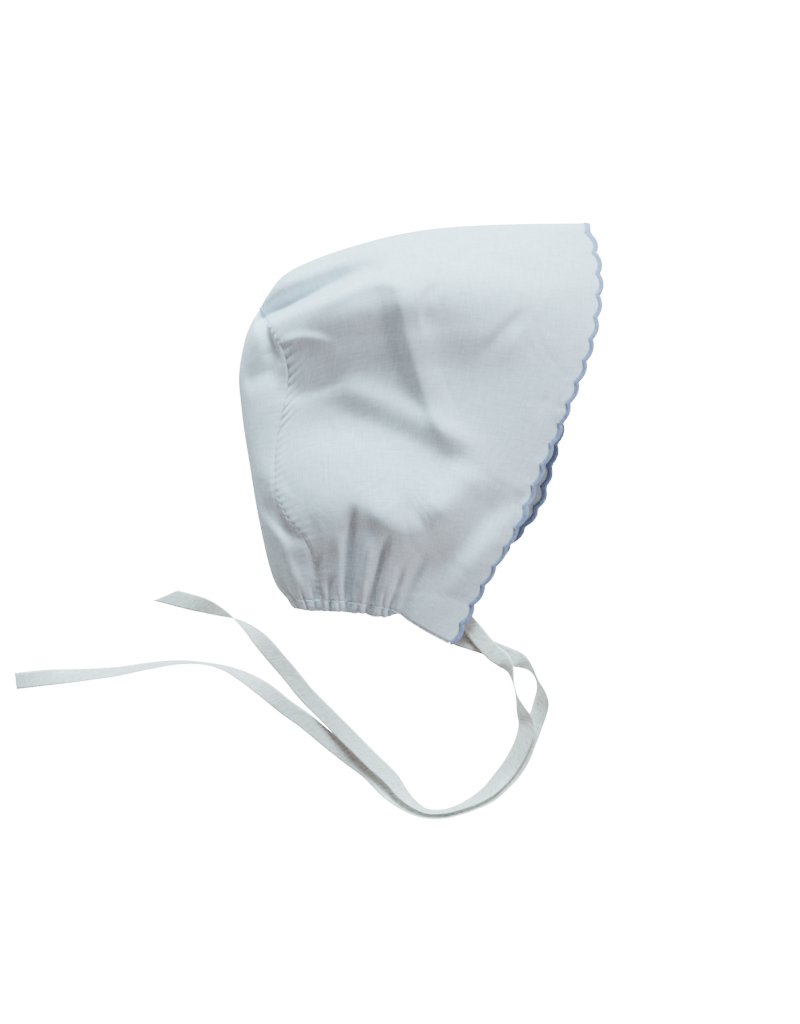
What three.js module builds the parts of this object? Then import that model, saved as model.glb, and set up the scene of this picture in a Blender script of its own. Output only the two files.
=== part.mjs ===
// A baby bonnet lying flat on its left side, with its two ribbon ties laid out loose.
// X runs from the back of the crown to the face edge, Y from the neck to the fold over the
// head, and Z up from the table. The origin is on the table under the middle of the bonnet.

import * as THREE from "three";

// Driving sizes in millimetres
const bonnetLength = 151.6;
const bonnetHeight = 178.9;
const bonnetRise = 46;
const clothThickness = 1.2;
const seamGap = 0.4;
const foldRoundness = 1.1;
const crownFoldLevel = 0.45;
const casingWidth = 5;
const casingThickness = 1.9;
const hemWidth = 2.4;
const gatherDepth = 0.7;
const gatherPitch = 5;
const edgingWidth = 1.5;
const scallopDepth = 2;
const scallopPitch = 9.4;
const edgeCurl = 50;
const tieWidth = 7;
const tieThickness = 1;

// How finely the cloth is divided
const stepsHalfway = 30;
const stepsToSeam = 25;
const stepsRoundCrown = 9;
const stepsPerScallop = 5;
const stepsPerTie = 76;

// Outlines of the side panel as it lies: x is a share of the length from the back,
// y a share of the height from the neck corner.
const nearFaceEdge = [
  [0.576, 0.021], [0.645, 0.127], [0.74, 0.265], [0.814, 0.411], [0.892, 0.568],
  [0.956, 0.721], [0.978, 0.845], [0.967, 0.934], [0.939, 0.998],
];
const farFaceEdge = [
  [0.568, 0.099], [0.64, 0.164], [0.74, 0.258], [0.812, 0.34], [0.842, 0.423],
  [0.884, 0.552], [0.939, 0.7], [0.967, 0.84], [0.961, 0.934], [0.939, 0.998],
];
const topFold = [
  [0.939, 0.998], [0.773, 0.996], [0.579, 0.988], [0.44, 0.971], [0.302, 0.94],
  [0.191, 0.906], [0.119, 0.872], [0.075, 0.824], [0.057, 0.796],
];
const nearNeckEdge = [
  [0.576, 0.021], [0.518, 0.047], [0.468, 0.073], [0.429, 0.096], [0.363, 0.107],
  [0.288, 0.117], [0.216, 0.121],
];
const farNeckEdge = [
  [0.568, 0.099], [0.5, 0.105], [0.43, 0.11], [0.36, 0.114], [0.288, 0.118], [0.216, 0.121],
];
const nearSeam = [
  [0.216, 0.121], [0.208, 0.174], [0.197, 0.228], [0.175, 0.265], [0.13, 0.31],
  [0.102, 0.369], [0.102, 0.458], [0.114, 0.528], [0.133, 0.599], [0.134, 0.653],
  [0.111, 0.709], [0.083, 0.756], [0.057, 0.796],
];
const farSeam = [
  [0.216, 0.121], [0.222, 0.2], [0.212, 0.3], [0.2, 0.4], [0.19, 0.5], [0.175, 0.6],
  [0.145, 0.69], [0.1, 0.75], [0.057, 0.796],
];
const crownFold = [
  [0.133, 0.12], [0.102, 0.153], [0.083, 0.197], [0.066, 0.258], [0.047, 0.34],
  [0.03, 0.43], [0.014, 0.514], [0.004, 0.587], [0, 0.634], [0.006, 0.681],
  [0.022, 0.739], [0.042, 0.777], [0.057, 0.796],
];

// Height of the near layer in shares of the rise. Each row is a section across the side
// panel, at its share of the way from the neck to the fold; its heights run from the face
// edge to the back seam at the shares of sectionPlaces.
const sectionPlaces = [0, 0.15, 0.35, 0.55, 0.78, 1];
const sections = [
  { at: 0, heights: [0.13, 0.27, 0.43, 0.56, 0.63, 0.61] },
  { at: 0.12, heights: [0.28, 0.43, 0.62, 0.78, 0.83, 0.76] },
  { at: 0.28, heights: [0.46, 0.67, 0.87, 0.98, 0.96, 0.85] },
  { at: 0.45, heights: [0.52, 0.72, 0.91, 0.89, 0.85, 0.8] },
  { at: 0.62, heights: [0.5, 0.65, 0.85, 0.8, 0.76, 0.72] },
  { at: 0.8, heights: [0.39, 0.52, 0.76, 0.91, 0.91, 0.74] },
  { at: 0.92, heights: [0.26, 0.37, 0.54, 0.78, 0.76, 0.59] },
  { at: 1, heights: [0.15, 0.2, 0.26, 0.35, 0.39, 0.37] },
];

// Folds of the near layer. Each runs through three points (x and y shares as above), with
// its reach to either side in shares of the length and its height in shares of the rise,
// negative for a valley.
const panelFolds = [
  { name: "upper hollow", from: [0.39, 0.854], by: [0.435, 0.728], to: [0.496, 0.577],
    left: 0.11, right: 0.028, rise: -0.07 },
  { name: "hollow brow", from: [0.219, 0.822], by: [0.335, 0.85], to: [0.413, 0.831],
    left: 0.066, right: 0.022, rise: -0.035 },
  { name: "long ridge", from: [0.452, 0.859], by: [0.512, 0.646], to: [0.657, 0.451],
    left: 0.033, right: 0.05, rise: 0.052 },
  { name: "soft hook", from: [0.54, 0.836], by: [0.515, 0.77], to: [0.551, 0.69],
    left: 0.022, right: 0.033, rise: -0.018 },
  { name: "short crease", from: [0.789, 0.8], by: [0.717, 0.737], to: [0.618, 0.662],
    left: 0.025, right: 0.039, rise: -0.02 },
  { name: "back hollow", from: [0.058, 0.812], by: [0.208, 0.85], to: [0.38, 0.906],
    left: 0.06, right: 0.022, rise: -0.074 },
  { name: "back rim", from: [0.047, 0.793], by: [0.213, 0.826], to: [0.368, 0.869],
    left: 0.022, right: 0.033, rise: 0.035 },
  { name: "seam pleat", from: [0.119, 0.599], by: [0.208, 0.624], to: [0.307, 0.648],
    left: 0.022, right: 0.028, rise: 0.028 },
  { name: "pleat hollow", from: [0.13, 0.667], by: [0.208, 0.676], to: [0.307, 0.657],
    left: 0.039, right: 0.03, rise: -0.022 },
  { name: "second hollow", from: [0.258, 0.629], by: [0.399, 0.563], to: [0.596, 0.479],
    left: 0.044, right: 0.055, rise: -0.035 },
  { name: "hollow tip", from: [0.524, 0.526], by: [0.601, 0.488], to: [0.662, 0.441],
    left: 0.019, right: 0.03, rise: -0.022 },
  { name: "belly rim", from: [0.136, 0.34], by: [0.288, 0.352], to: [0.524, 0.263],
    left: 0.078, right: 0.06, rise: 0.052 },
  { name: "belly shoulder", from: [0.429, 0.272], by: [0.568, 0.319], to: [0.69, 0.484],
    left: 0.044, right: 0.033, rise: 0.057 },
  { name: "front valley", from: [0.751, 0.366], by: [0.601, 0.239], to: [0.413, 0.075],
    left: 0.05, right: 0.039, rise: -0.035 },
  { name: "front ridge", from: [0.762, 0.305], by: [0.651, 0.221], to: [0.54, 0.103],
    left: 0.042, right: 0.042, rise: 0.022 },
  { name: "neck gather 1", from: [0.302, 0.418], by: [0.324, 0.258], to: [0.294, 0.023],
    left: 0.019, right: 0.039, rise: -0.07 },
  { name: "neck gather 2", from: [0.418, 0.315], by: [0.385, 0.188], to: [0.341, 0.047],
    left: 0.017, right: 0.025, rise: -0.035 },
  { name: "neck gather 3", from: [0.446, 0.192], by: [0.424, 0.122], to: [0.396, 0.061],
    left: 0.017, right: 0.022, rise: -0.02 },
];

// Folds of the crown piece, from and to as shares: up the piece from the neck, and round it
// from the near seam (0) to the far seam (1). Reach and depth in millimetres of cloth.
const crownFolds = [
  { name: "lower valley", from: [0.46, 0.4], to: [0.18, 0.1], reach: 4, rise: -1.4 },
  { name: "hem crease", from: [0.3, 0.45], to: [0.02, 0.22], reach: 3, rise: -1.2 },
  { name: "hem ridge", from: [0.24, 0.36], to: [0.02, 0.34], reach: 3, rise: 0.8 },
  { name: "upper dent", from: [0.93, 0.5], to: [0.72, 0.12], reach: 4, rise: -1.2 },
];

// The ties as they lie, in millimetres. Each row: x, y, roll of the ribbon in degrees
// (0 flat, 90 on edge), and how far its lowest edge is off the table.
const nearTieRoute = [
  [9.5, -80.7, 0, 4.4], [12.8, -82.9, 0, 1.9], [15.6, -84.4, 0, 0.1], [20, -85.8, 0, 0], [24, -87.1, 0, 0], [28, -88.4, 0, 0],
  [33, -90.5, 0, 0], [38, -92.5, 0, 0], [42.5, -94.5, 40, 0], [46, -97.5, 75, 0],
  [48.5, -102, 85, 0], [50, -107, 60, 0], [50, -113, 15, 0], [48, -119.5, 0, 0],
  [45, -127.5, 0, 0], [42, -135, 0, 0], [38.5, -140.5, 8, 0], [34, -145.5, 25, 0],
  [29, -150.5, 45, 0], [23.5, -154, 62, 0], [17, -157, 75, 0], [10, -159, 80, 0],
  [2.5, -159, 78, 0], [-3.5, -157, 70, 0], [-9, -153.5, 55, 0], [-15, -148, 30, 0],
  [-21.5, -141, 10, 0], [-30, -134.5, 0, 0], [-39.5, -127, 0, 0], [-48.5, -119.5, 0, 0],
  [-57.5, -113, 0, 0], [-65.5, -106.5, 20, 0], [-74, -101, 50, 0], [-82.5, -97, 75, 0],
  [-91, -95, 85, 0], [-101.5, -94.5, 80, 0], [-114, -96, 70, 0], [-128.5, -98.5, 60, 0],
  [-143.5, -100, 45, 0], [-157, -101, 20, 0], [-170.5, -102.5, 0, 0],
];
const farTieRoute = [
  [12, -71.5, 0, 1.6], [16.3, -75.2, 0, 1.8], [20.8, -79.8, 0, 1.8], [25.5, -85.5, 0, 1.7],
  [30, -90.5, 0, 1.7], [34, -93.5, 20, 1.9], [37, -97.5, 65, 0.8], [38.5, -103, 88, 0],
  [40, -109, 85, 0], [42, -115, 55, 0], [44, -120.5, 20, 0.8], [43, -126.5, 3, 1.4],
  [40.5, -132.5, 0, 1.4], [37, -138.5, 5, 1.4], [33, -143.5, 22, 1.1], [28, -148.5, 45, 0.8],
  [22, -152.5, 62, 0.5], [16, -155.2, 75, 0], [9.5, -157, 80, 0], [2.5, -157, 78, 0],
  [-2.5, -154.5, 68, 0.4], [-7.5, -150, 50, 0.9], [-13, -143, 30, 1.4], [-21, -135.5, 18, 1.5],
  [-30, -126.5, 10, 1.5], [-40, -116.5, 0, 1.3], [-48.5, -108, 0, 0.5], [-55, -100, 0, 0],
  [-61, -93, 0, 0], [-67, -86, 25, 0], [-72.5, -80.5, 60, 0], [-78, -76.5, 88, 0],
  [-84, -73.5, 120, 0], [-90.5, -71, 150, 0], [-98, -69, 172, 0], [-107.5, -66.5, 180, 0],
];
const nearTieCut = 0;
const farTieCut = 4.5;

// Shares of a fold's length over which it fades in and out, and of the crown piece's width
// over which it turns from the seam's direction to its own
const foldFade = 0.32;
const seamBlend = 0.25;

const up = new THREE.Vector3(0, 0, 1);
const restLevel = clothThickness / 2;

// A smooth curve through a table's rows, at the given place. Every column is blended.
function along(rows, places, place) {
  const last = rows.length - 1;
  const x = THREE.MathUtils.clamp(place, places[0], places[last]);
  let i = 0;
  while (i < last - 1 && x > places[i + 1]) i += 1;
  const span = places[i + 1] - places[i];
  const t = (x - places[i]) / span;
  const slope = (k, column) => {
    const a = Math.max(k - 1, 0);
    const b = Math.min(k + 1, last);
    return (rows[b][column] - rows[a][column]) / (places[b] - places[a]);
  };
  return rows[0].map((_, column) => {
    const a = rows[i][column];
    const b = rows[i + 1][column];
    return a + t * t * (3 - 2 * t) * (b - a)
      + span * t * (1 - t) ** 2 * slope(i, column)
      - span * t * t * (1 - t) * slope(i + 1, column);
  });
}

function smooth(x) {
  const t = THREE.MathUtils.clamp(x, 0, 1);
  return t * t * (3 - 2 * t);
}

// An outline table as a curve in millimetres, sampled from 0 to 1 by its length.
function outline(table) {
  const rows = table.map(([x, y]) => [(x - 0.5) * bonnetLength, (y - 0.5) * bonnetHeight]);
  const places = [0];
  for (let i = 1; i < rows.length; i += 1) {
    const step = Math.hypot(rows[i][0] - rows[i - 1][0], rows[i][1] - rows[i - 1][1]);
    places.push(places[i - 1] + step);
  }
  const total = places[places.length - 1];
  return (share) => along(rows, places, share * total);
}

const nearSides = { face: outline(nearFaceEdge), seam: outline(nearSeam), neck: outline(nearNeckEdge) };
const farSides = { face: outline(farFaceEdge), seam: outline(farSeam), neck: outline(farNeckEdge) };
const foldLine = outline(topFold);
const crownLine = outline(crownFold);

// A place inside four edge curves: a runs from the neck to the fold, v from face to seam.
function inside(sides, a, v) {
  const face = sides.face(a);
  const seam = sides.seam(a);
  const neck = sides.neck(v);
  const fold = foldLine(v);
  return [0, 1].map((k) => (1 - v) * face[k] + v * seam[k] + (1 - a) * neck[k] + a * fold[k]
    - (1 - a) * ((1 - v) * sides.neck(0)[k] + v * sides.neck(1)[k])
    - a * ((1 - v) * foldLine(0)[k] + v * foldLine(1)[k]));
}

function sectionHeight(a, v) {
  const rows = sections.map((section) => [
    along(section.heights.map((height) => [height]), sectionPlaces, v)[0],
  ]);
  return bonnetRise * along(rows, sections.map((section) => section.at), a)[0];
}

// Height added by one fold at a place: the nearest point of its curve gives how far along
// and how far to the side the place lies, and the fold fades out at its ends.
function foldHeight(fold, x, y) {
  const [from, by, to] = [fold.from, fold.by, fold.to].map(([a, b]) => [
    (a - 0.5) * bonnetLength, (b - 0.5) * bonnetHeight,
  ]);
  const pull = [0, 1].map((k) => 2 * by[k] - (from[k] + to[k]) / 2);
  const pieces = 8;
  const point = (t) => [0, 1].map((k) => (
    (1 - t) ** 2 * from[k] + 2 * t * (1 - t) * pull[k] + t * t * to[k]));
  let nearest = { distance: Infinity, t: 0, side: 1 };
  for (let i = 0; i < pieces; i += 1) {
    const a = point(i / pieces);
    const b = point((i + 1) / pieces);
    const d = [b[0] - a[0], b[1] - a[1]];
    const share = THREE.MathUtils.clamp(
      ((x - a[0]) * d[0] + (y - a[1]) * d[1]) / (d[0] ** 2 + d[1] ** 2), 0, 1);
    const off = [x - a[0] - share * d[0], y - a[1] - share * d[1]];
    const distance = Math.hypot(off[0], off[1]);
    if (distance < nearest.distance) {
      nearest = { distance, t: (i + share) / pieces, side: d[0] * off[1] - d[1] * off[0] };
    }
  }
  const reach = bonnetLength * (nearest.side > 0 ? fold.left : fold.right);
  const fade = smooth(nearest.t / foldFade) * smooth((1 - nearest.t) / foldFade);
  return bonnetRise * fold.rise * fade * Math.exp(-((nearest.distance / reach) ** 2));
}

// The middle of the side panel's cloth. u runs from the near neck edge over the fold (0.5)
// to the far neck edge; v from the face edge to the back seam.
function panelPoint(u, v) {
  const isFar = u > 0.5;
  const t = isFar ? 2 - 2 * u : 2 * u;
  const level = (sectionHeight(1, v) + restLevel) / 2;
  const halfRise = level - restLevel;
  const depth = foldRoundness * halfRise;
  const flatRun = bonnetHeight - depth;
  const turn = (Math.PI / 4) * (depth + halfRise);
  const flatShare = flatRun / (flatRun + turn);
  const angle = Math.max(0, (t - flatShare) / (1 - flatShare)) * (Math.PI / 2);
  const a = angle > 0
    ? 1 - (depth / bonnetHeight) * (1 - Math.sin(angle))
    : (t / flatShare) * (1 - depth / bonnetHeight);
  const [x, y] = inside(isFar ? farSides : nearSides, a, v);
  if (isFar) return new THREE.Vector3(x, y, level - halfRise * Math.cos(angle));
  let height = sectionHeight(a, v);
  for (const fold of panelFolds) height += foldHeight(fold, x, y);
  return new THREE.Vector3(x, y, level + (height - level) * Math.cos(angle));
}

// The middle of the crown piece. s runs up from the neck, w round the back from the near
// seam to the far seam through the crown's own fold.
function crownPoint(s, w) {
  const near = panelPoint(s / 2, 1);
  const far = panelPoint(1 - s / 2, 1);
  const [x, y] = crownLine(s);
  const level = restLevel + crownFoldLevel * (near.z - restLevel);
  const angle = Math.PI * w;
  const start = angle < Math.PI / 2 ? near : far;
  const swing = Math.sin(angle);
  return new THREE.Vector3(
    start.x + (x - start.x) * swing,
    start.y + (y - start.y) * swing,
    level + (start.z - level) * Math.abs(Math.cos(angle)),
  );
}

function crownFoldHeight(s, w) {
  let height = 0;
  for (const fold of crownFolds) {
    const span = [bonnetHeight * 0.7, bonnetRise * 2];
    const d = [0, 1].map((k) => (fold.to[k] - fold.from[k]) * span[k]);
    const p = [(s - fold.from[0]) * span[0], (w - fold.from[1]) * span[1]];
    const t = THREE.MathUtils.clamp((p[0] * d[0] + p[1] * d[1]) / (d[0] ** 2 + d[1] ** 2), 0, 1);
    const distance = Math.hypot(p[0] - t * d[0], p[1] - t * d[1]);
    const fade = smooth(t / foldFade) * smooth((1 - t) / foldFade);
    height += fold.rise * fade * Math.exp(-((distance / fold.reach) ** 2));
  }
  return height;
}

const nudge = 0.004;

// Which way the cloth faces, and which way it runs on past its face edge, seam or neck edge.
function facing(surface, a, b) {
  const da = surface(Math.min(a + nudge, 1), b).sub(surface(Math.max(a - nudge, 0), b));
  const db = surface(a, Math.min(b + nudge, 1)).sub(surface(a, Math.max(b - nudge, 0)));
  return da.cross(db).normalize();
}

function pastFaceEdge(u) {
  return panelPoint(u, 0).sub(panelPoint(u, 0.02)).normalize();
}

function pastSeam(u) {
  return panelPoint(u, 1).sub(panelPoint(u, 0.98)).normalize();
}

// A closed body of cloth from rows of middle points and the way each point faces.
function clothBody(rows, thickness) {
  const sides = [1, -1].map((side) => rows.map((row) => row.map(({ point, normal, half }) => {
    const moved = point.clone().addScaledVector(normal, side * (half ?? thickness / 2));
    moved.z = Math.max(moved.z, 0);
    return moved;
  })));
  const [outer, inner] = sides;
  const corners = [];
  const triangle = (a, b, c) => {
    if (a.distanceTo(b) < 1e-3 || b.distanceTo(c) < 1e-3 || a.distanceTo(c) < 1e-3) return;
    corners.push(...a.toArray(), ...b.toArray(), ...c.toArray());
  };
  const quad = (a, b, c, d) => {
    triangle(a, b, c);
    triangle(a, c, d);
  };
  const m = rows.length - 1;
  const n = rows[0].length - 1;
  for (let i = 0; i < m; i += 1) {
    for (let j = 0; j < n; j += 1) {
      quad(outer[i][j], outer[i + 1][j], outer[i + 1][j + 1], outer[i][j + 1]);
      quad(inner[i][j], inner[i][j + 1], inner[i + 1][j + 1], inner[i + 1][j]);
    }
    quad(outer[i][0], inner[i][0], inner[i + 1][0], outer[i + 1][0]);
    quad(outer[i][n], outer[i + 1][n], inner[i + 1][n], inner[i][n]);
  }
  for (let j = 0; j < n; j += 1) {
    quad(outer[0][j], outer[0][j + 1], inner[0][j + 1], inner[0][j]);
    quad(outer[m][j], inner[m][j], inner[m][j + 1], outer[m][j + 1]);
  }
  const geometry = new THREE.BufferGeometry();
  geometry.setAttribute("position", new THREE.Float32BufferAttribute(corners, 3));
  geometry.computeVertexNormals();
  return geometry;
}

function shares(steps) {
  return Array.from({ length: steps + 1 }, (_, i) => i / steps);
}

function sidePanel() {
  const rows = shares(2 * stepsHalfway).map((u) => shares(stepsToSeam).map((v) => ({
    point: panelPoint(u, v),
    normal: facing(panelPoint, u, v),
  })));
  return clothBody(rows, clothThickness);
}

// The crown piece starts a seam gap past the panel's seam edge, and faces as the panel does
// there, so that the two edges stay apart all the way round.
function crownPlace(s, w) {
  const away = 1 - smooth(Math.min(w, 1 - w) / seamBlend);
  const u = w < 0.5 ? s / 2 : 1 - s / 2;
  const gap = seamGap * Math.max(away, smooth((s - 0.8) / 0.2));
  const point = crownPoint(s, w).addScaledVector(pastSeam(u), gap);
  const seamNormal = facing(panelPoint, u, 1);
  const own = s > 0.97 ? facing(panelPoint, 0.5, 1) : facing(crownPoint, s, w);
  const normal = seamNormal.multiplyScalar(away).addScaledVector(own, 1 - away).normalize();
  point.addScaledVector(normal, crownFoldHeight(s, w) * (1 - away));
  return { point, normal };
}

function crownPiece() {
  const rows = shares(stepsHalfway).map((s) => shares(stepsRoundCrown).map((w) => crownPlace(s, w)));
  const tip = rows[rows.length - 1];
  tip.forEach((place) => {
    place.point = tip[0].point;
    place.normal = tip[0].normal;
  });
  return clothBody(rows, clothThickness);
}

// The neck band runs round the whole neck edge: a plain hem at the front corners and a
// gathered elastic casing behind them.
function neckBand() {
  const places = [];
  const panelSteps = 2 * stepsToSeam;
  const crownSteps = 2 * stepsRoundCrown;
  for (let i = 0; i <= panelSteps; i += 1) places.push({ surface: "near", at: i / panelSteps });
  for (let i = 1; i < crownSteps; i += 1) places.push({ surface: "crown", at: i / crownSteps });
  for (let i = panelSteps; i >= 0; i -= 1) places.push({ surface: "far", at: i / panelSteps });
  let run = 0;
  let previous = null;
  const columns = places.map(({ surface, at }) => {
    const isCrown = surface === "crown";
    const u = surface === "near" ? 0 : 1;
    const inner = isCrown ? crownPlace(0.03, at).point : panelPoint(Math.abs(u - 0.012), at);
    const edge = isCrown
      ? crownPlace(0, at)
      : { point: panelPoint(u, at), normal: facing(panelPoint, u, at) };
    const onward = edge.point.clone().sub(inner).normalize();
    if (surface === "far") onward.z = 0;
    if (previous) run += edge.point.distanceTo(previous);
    previous = edge.point;
    const gathered = isCrown ? 1 : smooth((at - 0.4) / 0.12);
    const width = hemWidth + (casingWidth - hemWidth) * gathered;
    const half = (clothThickness + (casingThickness - clothThickness) * gathered) / 2;
    const lift = surface === "far" ? half - restLevel : 0;
    const gather = gatherDepth * gathered * Math.sin((2 * Math.PI * run) / gatherPitch);
    const wave = surface === "far" ? 0 : gather;
    return [0, 0.5, 1].map((share) => {
      const point = edge.point.clone().addScaledVector(onward, seamGap + width * share);
      point.addScaledVector(edge.normal, wave * share);
      point.z += lift;
      return { point, normal: edge.normal, half };
    });
  });
  const rows = [2, 1, 0].map((k) => columns.map((column) => column[k]));
  return clothBody(rows, casingThickness);
}

// The stitched scallops along the whole face edge. Where the edge curls under, the band
// turns down toward the table.
function scallopBand() {
  const samples = 600;
  const arc = [0];
  for (let i = 1; i <= samples; i += 1) {
    arc.push(arc[i - 1] + panelPoint(i / samples, 0).distanceTo(panelPoint((i - 1) / samples, 0)));
  }
  const total = arc[samples];
  const count = Math.round(total / scallopPitch);
  const placeAt = (length) => {
    let i = 0;
    while (i < samples - 1 && arc[i + 1] < length) i += 1;
    return (i + (length - arc[i]) / (arc[i + 1] - arc[i])) / samples;
  };
  const rows = shares(count * stepsPerScallop).map((share) => {
    const u = placeAt(share * total);
    const normal = facing(panelPoint, u, 0);
    const onward = pastFaceEdge(u);
    const curl = THREE.MathUtils.degToRad(edgeCurl) * smooth(u / 0.12) * smooth((0.4 - u) / 0.16);
    const outward = onward.clone().multiplyScalar(Math.cos(curl)).addScaledVector(normal, -Math.sin(curl));
    const turned = normal.clone().multiplyScalar(Math.cos(curl)).addScaledVector(onward, Math.sin(curl));
    const bulge = Math.abs(Math.sin(Math.PI * share * count)) ** 0.8;
    const start = panelPoint(u, 0).addScaledVector(onward, seamGap);
    const end = start.clone().addScaledVector(outward, edgingWidth + scallopDepth * bulge);
    return [{ point: end, normal: turned }, { point: start, normal }];
  });
  return clothBody(rows, clothThickness);
}

// A flat ribbon along its route. Its roll turns it about its own length, and it rests on
// its lowest edge unless the route lifts it. The far end is cut at a slant.
function ribbon(route, cut) {
  const places = [0];
  for (let i = 1; i < route.length; i += 1) {
    const step = Math.hypot(route[i][0] - route[i - 1][0], route[i][1] - route[i - 1][1]);
    places.push(places[i - 1] + step);
  }
  const total = places[places.length - 1];
  const rows = shares(stepsPerTie).map((share) => {
    const [x, y, roll, lift] = along(route, places, share * total);
    const ahead = along(route, places, share * total + 0.5);
    const behind = along(route, places, share * total - 0.5);
    const forward = new THREE.Vector3(ahead[0] - behind[0], ahead[1] - behind[1], 0).normalize();
    const left = up.clone().cross(forward);
    const turn = THREE.MathUtils.degToRad(roll);
    const across = left.clone().multiplyScalar(Math.cos(turn)).addScaledVector(up, Math.sin(turn));
    const normal = up.clone().multiplyScalar(Math.cos(turn)).addScaledVector(left, -Math.sin(turn));
    const depth = tieWidth * Math.abs(Math.sin(turn)) + tieThickness * Math.abs(Math.cos(turn));
    const level = Math.max(lift, 0) + depth / 2;
    const slant = cut * smooth((share - 0.96) / 0.04);
    return [0.5, -0.5].map((side) => {
      const point = new THREE.Vector3(x, y, level).addScaledVector(across, side * tieWidth);
      point.addScaledVector(forward, -side * slant);
      return { point, normal };
    });
  });
  return clothBody(rows.map((row) => row.reverse()), tieThickness);
}

function piece(name, geometry, color, roughness) {
  const material = new THREE.MeshStandardMaterial({ color, roughness, metalness: 0 });
  const mesh = new THREE.Mesh(geometry, material);
  mesh.name = name;
  return mesh;
}

const bonnet = new THREE.Group();
bonnet.add(
  piece("main_panel", sidePanel(), 0xe9eef0, 0.9),
  piece("back_panel", crownPiece(), 0xe4e8ea, 0.9),
  piece("neck_casing", neckBand(), 0xdfe3e5, 0.9),
  piece("scallop_edging", scallopBand(), 0x9db3cf, 0.7),
  piece("near_tie", ribbon(nearTieRoute, nearTieCut), 0xe6ebe4, 0.4),
  piece("far_tie", ribbon(farTieRoute, farTieCut), 0xe6ebe4, 0.4),
);

export default bonnet;
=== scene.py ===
# A white cotton baby bonnet lying on its side, with a blue scalloped edge and satin ties.
import math

import bpy
import numpy as np
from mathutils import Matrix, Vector


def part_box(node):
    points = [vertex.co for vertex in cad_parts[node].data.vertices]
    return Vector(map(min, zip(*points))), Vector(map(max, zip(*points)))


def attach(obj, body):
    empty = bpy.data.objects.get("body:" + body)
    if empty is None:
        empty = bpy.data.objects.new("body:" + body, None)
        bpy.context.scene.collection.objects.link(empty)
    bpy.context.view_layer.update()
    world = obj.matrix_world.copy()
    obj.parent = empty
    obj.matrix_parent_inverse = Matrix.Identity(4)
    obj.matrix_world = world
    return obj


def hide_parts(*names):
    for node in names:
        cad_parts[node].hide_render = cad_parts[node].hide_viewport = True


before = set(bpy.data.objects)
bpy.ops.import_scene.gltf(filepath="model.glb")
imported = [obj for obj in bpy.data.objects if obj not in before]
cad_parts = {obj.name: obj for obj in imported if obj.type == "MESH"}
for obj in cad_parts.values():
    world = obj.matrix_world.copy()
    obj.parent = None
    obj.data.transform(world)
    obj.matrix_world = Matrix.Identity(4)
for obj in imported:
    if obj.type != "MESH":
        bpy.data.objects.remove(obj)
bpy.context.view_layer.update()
mm = 0.001
print("frame loaded")


# The photo: its size, its scale and where the bonnet's outline lies in it, in pixels
photo = {"width": 800, "height": 1024, "pixel": 0.42 * mm,
         "left": 241, "right": 602, "top": 224, "bottom": 650}

# Camera straight above, far off, so that the bonnet shows nearly without perspective
camera = {"height": 2.0, "sensor": 36}


def addCamera():
    bpy.ops.object.camera_add()
    cam = bpy.context.object
    cam.name = "photoCamera"
    middleX, middleY = (photo["left"] + photo["right"]) / 2, (photo["top"] + photo["bottom"]) / 2
    cam.location = ((photo["width"] / 2 - middleX) * photo["pixel"],
                    (middleY - photo["height"] / 2) * photo["pixel"], camera["height"])
    cam.rotation_euler = (0, 0, 0)
    cam.data.sensor_width = camera["sensor"]
    cam.data.lens = camera["sensor"] * camera["height"] / (photo["height"] * photo["pixel"])
    bpy.context.scene.camera = cam


addCamera()
print("camera set")


# Curves through tables of rows, worked out for many places at once

def smooth(x):
    t = np.clip(x, 0, 1)
    return t * t * (3 - 2 * t)


def slopesOf(rows, places):
    # Slopes of a smooth curve through the rows of a table, one-sided at its ends
    order = np.arange(len(places))
    before, after = np.maximum(order - 1, 0), np.minimum(order + 1, len(places) - 1)
    return (rows[after] - rows[before]) / (places[after] - places[before])[:, None]


def stretchAt(places, at):
    # The stretch of a table in which a place falls, its length and the share of the way
    x = np.clip(at, places[0], places[-1])
    i = np.clip(np.searchsorted(places, x, side="right") - 1, 0, len(places) - 2)
    span = places[i + 1] - places[i]
    return i, span, (x - places[i]) / span


def cubic(low, high, slopeLow, slopeHigh, span, t):
    return (low + t * t * (3 - 2 * t) * (high - low)
            + span * t * (1 - t) ** 2 * slopeLow - span * t * t * (1 - t) * slopeHigh)


def along(rows, places, at):
    rows, places = np.asarray(rows, float), np.asarray(places, float)
    slopes = slopesOf(rows, places)
    i, span, t = stretchAt(places, at)
    return cubic(rows[i], rows[i + 1], slopes[i], slopes[i + 1], span[..., None], t[..., None])


def runLengths(points):
    steps = np.linalg.norm(np.diff(points, axis=0), axis=1)
    return np.concatenate([[0], np.cumsum(steps)])


def unit(vectors):
    return vectors / np.maximum(np.linalg.norm(vectors, axis=-1, keepdims=True), 1e-12)


def gridNormals(points):
    return unit(np.cross(np.gradient(points, axis=0), np.gradient(points, axis=1)))


# The ties: their ribbon, its thicker woven edge and the slanted cut of the far one
tieData = {"width": 7 * mm, "thickness": 0.3 * mm, "steps": 420, "across": 8, "lookAhead": 0.5,
           "edgeExtra": 0.5, "edgeFrom": 0.8, "edgeRun": 0.15, "slant": 4.5 * mm, "slantFrom": 0.96}
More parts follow.
